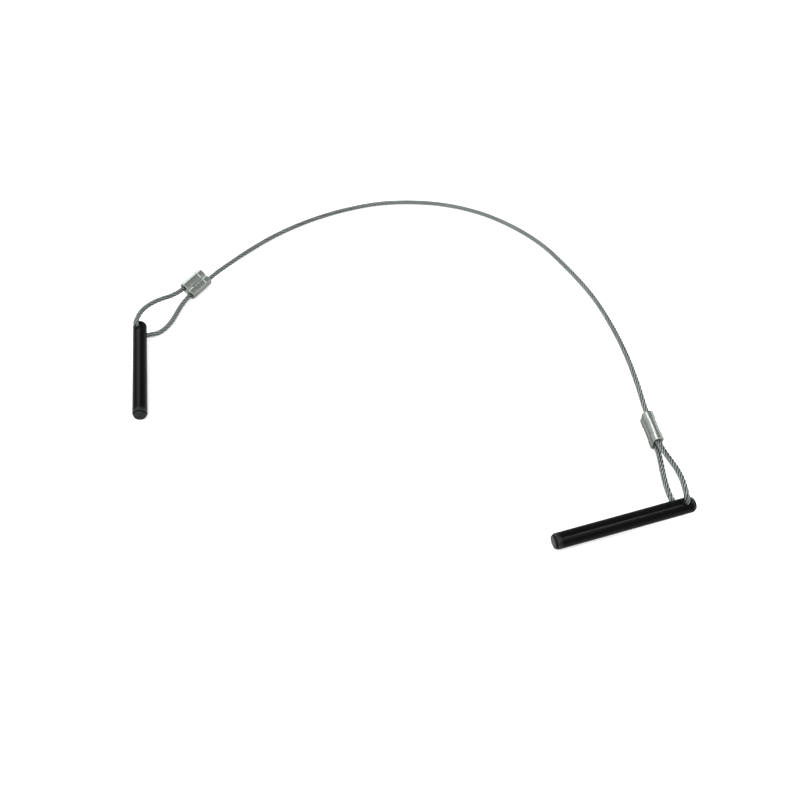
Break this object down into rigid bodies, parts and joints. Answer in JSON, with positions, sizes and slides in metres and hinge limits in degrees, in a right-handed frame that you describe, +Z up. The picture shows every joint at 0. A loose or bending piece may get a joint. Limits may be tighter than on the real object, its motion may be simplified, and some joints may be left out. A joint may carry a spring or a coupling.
{
  "type": "wire rope pin lanyard",
  "caption": "Stranded wire-rope lanyard closed by pressed ferrules, with each end eye threaded through the cross-hole of a plain black round pin.",
  "frame": {"origin": "on the surface that the lanyard lies on, under the middle of the box round the pins and ferrules", "axes": "+Z up, +X from the left pin to the right pin along the longest extent, +Y towards the top of the rope's arc"},
  "size_m": [0.3205, 0.3209, 0.0198],
  "materials": {
    "pin_black": "satin",
    "rope_steel": "satin",
    "ferrule_aluminium": "satin"
  },
  "bodies": {
    "lanyard": {"lanyard_rope": "rope_steel", "left_eye_loop": "rope_steel", "right_eye_loop": "rope_steel", "left_ferrule": "ferrule_aluminium", "right_ferrule": "ferrule_aluminium"},
    "left_pin": {"left_pin": "pin_black"},
    "right_pin": {"right_pin": "pin_black"}
  },
  "joints": [
    {"name": "left_pin_swing", "type": "hinge", "parent": "lanyard", "child": "left_pin", "pos_m": [-0.1555, 0.0481, 0.00866], "axis": [-0.2737, -0.119, 0.9544], "range_deg": [-170, 125]},
    {"name": "right_pin_swing", "type": "hinge", "parent": "lanyard", "child": "right_pin", "pos_m": [0.1545, -0.0893, 0.00866], "axis": [-0.023, -0.1507, 0.9883], "range_deg": [-70, 225]}
  ]
}
